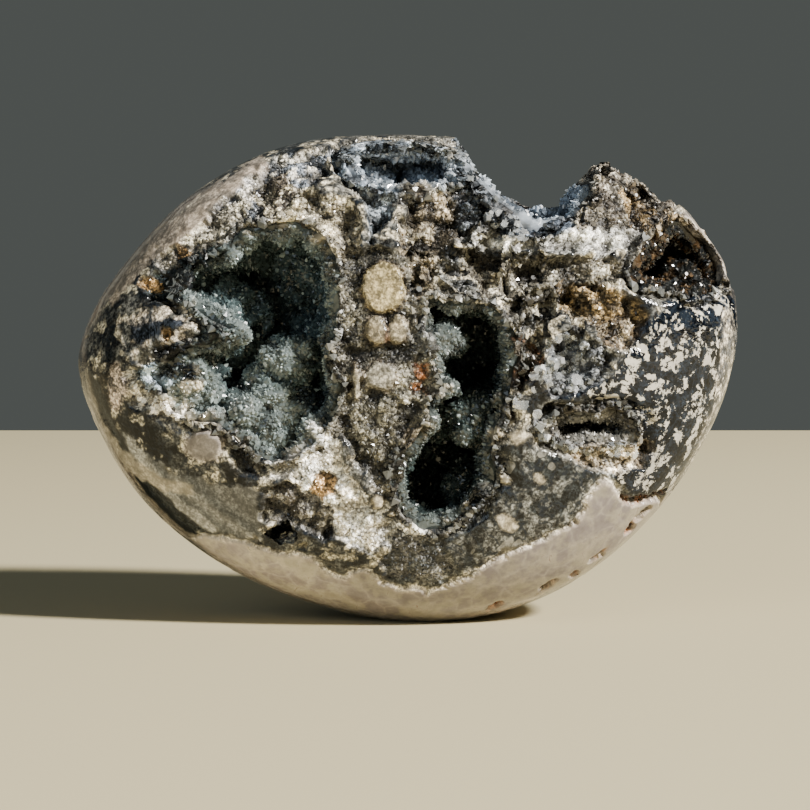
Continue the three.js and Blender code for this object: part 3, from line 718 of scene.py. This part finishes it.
gloss = spread(tree, grain_at, 0.3, 0.8, 0.10, 0.5)
tree.links.new(gloss, surface.inputs["Roughness"])
surface.inputs["IOR"].default_value = 1.54
surface.inputs["Specular IOR Level"].default_value = 0.3
lift = times(tree, coarse.outputs["Distance"], grain_at)
lift_fine = times(tree, fine.outputs["Distance"], grain_at)
both = mathed(tree, "ADD", lift, times(tree, lift_fine, 0.5))
bump = add(tree, "Bump", {"Height": both, "Strength": 0.7, "Distance": 0.5 * mm}, invert=True)
tree.links.new(bump.outputs["Normal"], surface.inputs["Normal"])

stone.data.materials.append(chalcedony)
bpy.ops.object.shade_smooth()
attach(stone, "root")
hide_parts("geode_stone")

# The druse: crusts of small quartz points that line the hollows. Each is a knobbly skin on the hollow's
# wall with six-sided points grown all over the side that faces into the hollow. Two points, a short one and
# a tall one, are modelled and repeated.


def shape_of(piece):
    """A modelled crystal's vertices and faces, to be repeated."""
    corners = np.array([v.co[:] for v in piece.data.vertices])
    faces = [list(f.vertices) for f in piece.data.polygons]
    bpy.data.objects.remove(piece)
    return corners, faces


bpy.ops.object.select_all(action="DESELECT")
bpy.ops.mesh.primitive_cone_add(vertices=6, radius1=0.5, depth=1, location=(0, 0, 0.25))
bpy.ops.object.transform_apply()
SHORT_POINT = shape_of(bpy.context.object)

bpy.ops.mesh.primitive_cylinder_add(vertices=6, radius=0.4, depth=0.8, end_fill_type="NGON")
tall = bpy.context.object
for face in tall.data.polygons:
    face.select = face.normal.z > 0.9
bpy.ops.object.mode_set(mode="EDIT")
bpy.ops.mesh.extrude_region_move(TRANSFORM_OT_translate={"value": (0.05, 0.03, 0.45)})
bpy.ops.mesh.merge(type="CENTER")
bpy.ops.object.mode_set(mode="OBJECT")
TALL_POINT = shape_of(tall)


def spots_on(piece, wanted, spacing, seed):
    """Even random spots on the faces whose vertices are wanted: places, normals and a vertex of each."""
    piece.data.calc_loop_triangles()
    corners = np.empty(len(piece.data.loop_triangles) * 3, np.int32)
    piece.data.loop_triangles.foreach_get("vertices", corners)
    corners = corners.reshape(-1, 3)
    corners = corners[wanted[corners].all(axis=1)]
    points = read(piece, "co")
    a, b, c = (points[corners[:, i]] for i in range(3))
    cross = np.cross(b - a, c - a)
    area = np.linalg.norm(cross, axis=1) / 2
    random = np.random.default_rng(seed)
    count = int(area.sum() / spacing**2 * 5)
    face = random.choice(len(corners), count, p=area / area.sum())
    u, v = random.random((2, count, 1))
    flip = u + v > 1
    u, v = np.where(flip, 1 - u, u), np.where(flip, 1 - v, v)
    place = a[face] + u * (b - a)[face] + v * (c - a)[face]
    cell = np.floor(place / spacing + random.random(3)).astype(int)
    first = np.unique(cell, axis=0, return_index=True)[1]
    normal = read(piece, "normal")[corners[face[first], 0]]
    return place[first], normal, corners[face[first], 0]


def grown(name, shape, place, normal, size, lean, seed):
    """Crystals of one shape grown at each place along its normal, as one mesh that keeps their tints."""
    corners, sides = shape
    random = np.random.default_rng(seed)
    count, each = len(place), len(corners)
    up = normal + lean * random.normal(size=(count, 3))
    up /= np.linalg.norm(up, axis=1)[:, None]
    side = np.cross(up, random.normal(size=(count, 3)))
    side /= np.linalg.norm(side, axis=1)[:, None]
    other = np.cross(up, side)
    tint = random.random(count)
    wide = (size * (0.75 + 0.5 * random.random(count)))[:, None, None]
    tall = (size * (0.5 + 0.5 * tint**2))[:, None, None]
    across = corners[None, :, 0:1] * side[:, None] + corners[None, :, 1:2] * other[:, None]
    points = place[:, None] + across * wide + corners[None, :, 2:3] * up[:, None] * tall
    faces = [[start + i for i in f] for start in range(0, count * each, each) for f in sides]
    mesh = bpy.data.meshes.new(name)
    mesh.from_pydata(ground_off(points.reshape(-1, 3)).tolist(), [], faces)
    piece = bpy.data.objects.new(name, mesh)
    bpy.context.collection.objects.link(piece)
    keep_on(piece, "tint", np.repeat(tint, each))
    return piece


def joined(pieces):
    bpy.ops.object.select_all(action="DESELECT")
    for piece in pieces:
        piece.select_set(True)
    bpy.context.view_layer.objects.active = pieces[0]
    bpy.ops.object.join()
    return pieces[0]


face_spots = np.flatnonzero((front > 0.5) & ~behind)
face_tree = KDTree(len(face_spots))
for i in face_spots.tolist():
    face_tree.insert(placed[i].tolist(), i)
face_tree.balance()


def beside(points):
    """The spot of the face that is nearest to each point, before the face was carved."""
    return [face_tree.find(p)[1] for p in points.tolist()]


# The skin of a crust: how fine it is, the share of it that stays when its back is thinned, how far that
# back is pressed into the wall, how far out on the oval it may stand, and the size of its small knobs as a
# share of the large ones. Then the share of its points that are tall.
CRUST_GRAIN = 1.0 * mm
SKIN_LEFT = 0.62
PRESSED_IN = 1.3 * mm
CRUST_LIMIT = 0.985
SMALL_KNOB = 0.45
TALL_SHARE = 0.15


def on_wall(skin):
    """True where the skin of a crust looks at the wall of its hollow."""
    return facing(stone_tree, read(skin, "co"), read(skin, "normal"), 1.5 * mm, 0.5)


def for_all(shape, values):
    """Repeats what each crystal has for all its vertices."""
    return np.repeat(values, len(shape[0]), axis=0)


def druse(node, spacing, size, knob_size, knob_height, seed):
    """A crust: its knobbly skin and the points on it, joined into one mesh that keeps tint, depth and the
    colour of the rock beside it. The skin is pressed into the wall behind it, so that no gap shows. The
    spacing and size of the points and the size and height of the knobs are in mm."""
    skin = copy_of(node, node.replace("crystals", "druse"))
    worked(skin, "REMESH", mode="VOXEL", voxel_size=CRUST_GRAIN)
    worked(skin, "SMOOTH", factor=0.5, iterations=3)
    worked(skin, "TRIANGULATE")
    group = skin.vertex_groups.new(name="back")
    group.add(np.flatnonzero(on_wall(skin)).tolist(), 1.0, "REPLACE")
    worked(skin, "DECIMATE", ratio=SKIN_LEFT, vertex_group="back")
    back = on_wall(skin)
    drawn = read(skin, "co")
    skin_points = sway(drawn)
    near_face = 1 - smooth_step(face_over(drawn), 2 * mm, 9 * mm)
    skin_points[:, 1] += lowered[beside(skin_points)] * near_face
    write(skin, skin_points)
    worked(skin, "SMOOTH", factor=0.5, iterations=5)
    skin_points = read(skin, "co")
    big, chance = knobs(skin_points, knob_size * mm)
    small = knobs(skin_points, knob_size * SMALL_KNOB * mm)[0]
    crown = 0.6 * big + 0.4 * small
    height = big * (0.5 + chance) * knob_height + small * knob_height * SMALL_KNOB
    height = (height - knob_height * 0.35) * mm
    height = np.where(back, PRESSED_IN, height)
    near_sky = skin_points[:, 2] > skyline(skin_points) - 2 * mm
    height = np.where(near_sky, np.minimum(height, -0.4 * mm), height)
    skin_points = ground_off(skin_points + read(skin, "normal") * height[:, None], CRUST_LIMIT)
    write(skin, skin_points)
    place, normal, vertex = spots_on(skin, ~back, spacing * mm, seed)
    random = np.random.default_rng(seed + 1)
    sizes = size * mm * (0.8 + 0.9 * random.random(len(place)) ** 3)
    tall = random.random(len(place)) < TALL_SHARE
    pieces = [skin]
    for shape, chosen in ((SHORT_POINT, ~tall), (TALL_POINT, tall)):
        draw = seed + len(pieces) + 1
        points = grown(node, shape, place[chosen], normal[chosen], sizes[chosen], 0.3, draw)
        keep_on(points, "paint", for_all(shape, paint[beside(place[chosen])]))
        keep_on(points, "crown", for_all(shape, crown[vertex[chosen]]))
        pieces.append(points)
    keep_on(skin, "tint", np.full(len(skin_points), 0.2))
    keep_on(skin, "crown", crown)
    keep_on(skin, "paint", paint[beside(skin_points)])
    crust = joined(pieces)
    keep_on(crust, "deep", face_over(read(crust, "co")) / mm)
    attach(crust, "root")
    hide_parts(node)
    return crust


def quartz(name, pale, dark, pale_at, dark_at, transmission=0.2, stain=None):
    """Glassy quartz: like the rock beside it at the face, then pale, and darker further into the hollow,
    partly its own dark green coat and partly painted shade deep in the hollow.
    The depths at which it is wholly pale and wholly dark are in mm behind the face."""
    made, tree, surface = new_material(name)
    at = add(tree, "TexCoord", {}).outputs["Object"]
    tint = kept(tree, "tint")
    deep = kept(tree, "deep")
    drift = clouded(tree, at, 8 * mm, 4.0, 0.6)
    moved = mathed(tree, "ADD", deep, spread(tree, drift, 0.3, 0.7, -3.0, 3.0))
    rock_beside = kept(tree, "paint", "Color")
    colour = blend(tree, spread(tree, moved, 0.5, pale_at), rock_beside, rgb(pale))
    # Darker with depth: partly the quartz's own darker colour, partly painted shade deep in the hollow
    colour = blend(tree, spread(tree, moved, pale_at, dark_at), colour, rgb(dark))
    if stain:
        rusty = clouded(tree, at, 5 * mm, 4.0, 0.65)
        colour = blend(tree, spread(tree, rusty, 0.48, 0.6), colour, rgb(stain))
    colour = shaded(tree, colour, spread(tree, tint, 0, 0.9, 0.5, 1.6, smooth=False))
    # Painted light and shade on the knobs: paler on their crowns, darker in the creases between
    colour = shaded(tree, colour, spread(tree, kept(tree, "crown"), 0.15, 0.8, 0.4, 1.45))
    # Painted glints: a few points of each crust are made near white, as painted highlights
    painted_glint = [min(tone * 3, 0.8) for tone in pale]
    colour = blend(tree, spread(tree, tint, 0.96, 0.985), colour, rgb(painted_glint))
    tree.links.new(colour, surface.inputs["Base Color"])
    tree.links.new(spread(tree, tint, 0, 1, 0.08, 0.28, smooth=False), surface.inputs["Roughness"])
    surface.inputs["IOR"].default_value = 1.54
    surface.inputs["Transmission Weight"].default_value = transmission
    return made


dark_quartz = quartz("dark_quartz", [0.15, 0.18, 0.176], [0.053, 0.077, 0.080], pale_at=5, dark_at=15)
black_quartz = quartz("black_quartz", [0.09, 0.105, 0.10], [0.026, 0.037, 0.036], pale_at=3, dark_at=11)
blue_quartz = quartz("blue_quartz", [0.37, 0.415, 0.465], [0.20, 0.24, 0.29], pale_at=8, dark_at=22)
# The shoulder crust: rust-stained quartz, its colours made very dark as painted shade of the cave it lines
shaded_rusty_quartz = quartz("shaded_rusty_quartz", [0.030, 0.027, 0.022], [0.008, 0.009, 0.009], pale_at=1, dark_at=4,
                      transmission=0.1, stain=[0.050, 0.030, 0.014])
pale_quartz = quartz("pale_quartz", [0.20, 0.19, 0.165], [0.075, 0.075, 0.07], pale_at=2, dark_at=8)

left_druse = druse("left_hollow_crystals", spacing=1.1, size=1.25, knob_size=8.5, knob_height=2.6,
                   seed=11)
left_druse.data.materials.append(dark_quartz)

centre_druse = druse("centre_hollow_crystals", spacing=1.05, size=1.15, knob_size=7.5, knob_height=2.2,
                     seed=21)
centre_druse.data.materials.append(black_quartz)

top_druse = druse("top_hollow_crystals", spacing=1.25, size=1.35, knob_size=6.5, knob_height=1.8,
                  seed=31)
top_druse.data.materials.append(blue_quartz)

shoulder_druse = druse("shoulder_hollow_crystals", spacing=1.1, size=1.2, knob_size=3.6, knob_height=1.1,
                       seed=41)
shoulder_druse.data.materials.append(shaded_rusty_quartz)

slot_druse = druse("slot_crystals", spacing=1.0, size=1.1, knob_size=5.0, knob_height=1.5,
                   seed=51)
slot_druse.data.materials.append(pale_quartz)

# The sugary crystals that stand on the rough parts of the face, and the larger fringe along the lips of the
# hollows. They are the short modelled point, and each keeps the colour of the rock that it stands on.


def scattered(name, shape, where, spacing, least, extra, power, lean, seed):
    """Crystals scattered over a part of the stone, and the vertex that each stands on. They are least mm
    wide and up to that much extra, and a higher power makes the large ones rarer."""
    place, normal, vertex = spots_on(stone, where & ~behind, spacing * mm, seed)
    share = np.random.default_rng(seed + 1).random(len(place))
    size = (least + extra * share**power) * mm
    return grown(name, shape, place, normal, size, lean, seed + 2), vertex


grains, vertex = scattered("face_crystals", SHORT_POINT, rough > 0.5, spacing=1.2, least=0.9, extra=0.9,
                           power=4, lean=0.45, seed=61)
keep_on(grains, "paint", for_all(SHORT_POINT, paint[vertex]))
lips = (crust_gap < 2 * mm) & (front > 0.5)
fringe, vertex = scattered("fringe", SHORT_POINT, lips, spacing=1.7, least=1.5, extra=1.6,
                           power=2, lean=0.5, seed=64)
fringe_paint = 0.55 * paint[vertex] + 0.45 * np.array([0.21, 0.22, 0.21])
keep_on(fringe, "paint", for_all(SHORT_POINT, fringe_paint))
face_crystals = joined([grains, fringe])

sugar, tree, surface = new_material("sugar")
tint = kept(tree, "tint")
colour = shaded(tree, kept(tree, "paint", "Color"), spread(tree, tint, 0, 1, 0.6, 1.55, smooth=False))
tree.links.new(colour, surface.inputs["Base Color"])
tree.links.new(spread(tree, tint, 0, 1, 0.18, 0.45, smooth=False), surface.inputs["Roughness"])
surface.inputs["IOR"].default_value = 1.54
surface.inputs["Transmission Weight"].default_value = 0.12
face_crystals.data.materials.append(sugar)
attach(face_crystals, "root")

# The icy crystals: larger clear quartz in clumps, on the right of the centre hollow, in the trench and
# around the slot. They are the tall modelled point, grown wider apart.
ICY_CLUMPS = [
    [[40.5, 88.5], [48.5, 88], [52, 85], [50, 80], [52, 74], [48.5, 70.5], [42.5, 70.5], [39.5, 77]],
    [[36, 77.5], [39.5, 79.5], [42, 77], [41.5, 71.5], [39, 69.5], [36.5, 71.5]],
    [[30, 69], [32.5, 70.5], [35.5, 69], [34.5, 66], [31, 65.5]],
    [[37, 84.5], [39.5, 87], [43.5, 87], [44.5, 84], [41, 82.5]],
    [[26.5, 127], [30.5, 128], [34, 125], [36, 120], [35.5, 115.5], [32, 115], [28, 119]],
    [[53, 55], [59.5, 55], [66.5, 56], [71, 55], [70, 51.5], [61, 50]],
    [[35.5, 64], [37, 60], [40, 56], [46, 52.5], [54, 50.5], [56, 54], [48, 56.5], [42, 60.5],
     [38.5, 65.5]],
]
in_clump = np.max([inside(placed, outline) for outline in ICY_CLUMPS], axis=0) > 0
icy_crystals, _ = scattered("icy_crystals", TALL_POINT, in_clump & (front > 0.5), spacing=2.4, least=1.9,
                            extra=1.9, power=2, lean=0.35, seed=71)

ice, tree, surface = new_material("clear_quartz")
tint = kept(tree, "tint")
colour = blend(tree, tint, rgb([0.40, 0.44, 0.47]), rgb([0.82, 0.83, 0.82]))
tree.links.new(colour, surface.inputs["Base Color"])
surface.inputs["Roughness"].default_value = 0.14
surface.inputs["IOR"].default_value = 1.54
surface.inputs["Transmission Weight"].default_value = 0.72
icy_crystals.data.materials.append(ice)
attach(icy_crystals, "root")

# The floor: a plain pale sheet that ends behind the stone
FLOOR_WIDTH = 8
FLOOR_BACK = 0.93
bpy.ops.object.select_all(action="DESELECT")
bpy.ops.mesh.primitive_plane_add(size=FLOOR_WIDTH, location=(0, FLOOR_BACK - FLOOR_WIDTH / 2, 0))
bpy.ops.object.transform_apply()
floor = bpy.context.object
floor.name = "floor"
pale_floor, tree, surface = new_material("pale_floor")
surface.inputs["Base Color"].default_value = (0.48, 0.42, 0.255, 1)
surface.inputs["Roughness"].default_value = 0.8
floor.data.materials.append(pale_floor)

# The light: a soft key high on the right, a weak fill from the left front, and a grey room
AIM = np.array([-0.9, 0, 64.6]) * mm


def lamp(name, towards, distance, size, power, colour):
    direction = np.array(towards) / np.linalg.norm(towards)
    bpy.ops.object.light_add(type="AREA", location=AIM + direction * distance)
    made = bpy.context.object
    made.name = name
    made.data.size = size
    made.data.energy = power
    made.data.color = colour
    made.rotation_euler = (Vector(AIM) - made.location).to_track_quat("-Z", "Y").to_euler()


lamp("key", [0.76, -0.47, 0.62], distance=4.0, size=0.42, power=600, colour=(1.0, 0.965, 0.905))
lamp("fill", [-0.8, -1.0, 0.45], distance=1.4, size=0.9, power=4.2, colour=(0.72, 0.86, 1.0))
world = bpy.data.worlds.new("room")
world.use_nodes = True
world.node_tree.nodes["Background"].inputs["Color"].default_value = (0.19, 0.21, 0.198, 1)
world.node_tree.nodes["Background"].inputs["Strength"].default_value = 0.42
bpy.context.scene.world = world

# The camera: level with the stone's middle and a little above it
VIEW_DISTANCE = 0.9
VIEW_WIDTH = 0.2473
VIEW_ELEVATION = math.radians(3)
bpy.ops.object.camera_add(rotation=(math.pi / 2 - VIEW_ELEVATION, 0, 0))
camera = bpy.context.object
camera.location = AIM + VIEW_DISTANCE * np.array([0, -math.cos(VIEW_ELEVATION), math.sin(VIEW_ELEVATION)])
camera.data.lens = camera.data.sensor_width * VIEW_DISTANCE / VIEW_WIDTH
bpy.context.scene.camera = camera
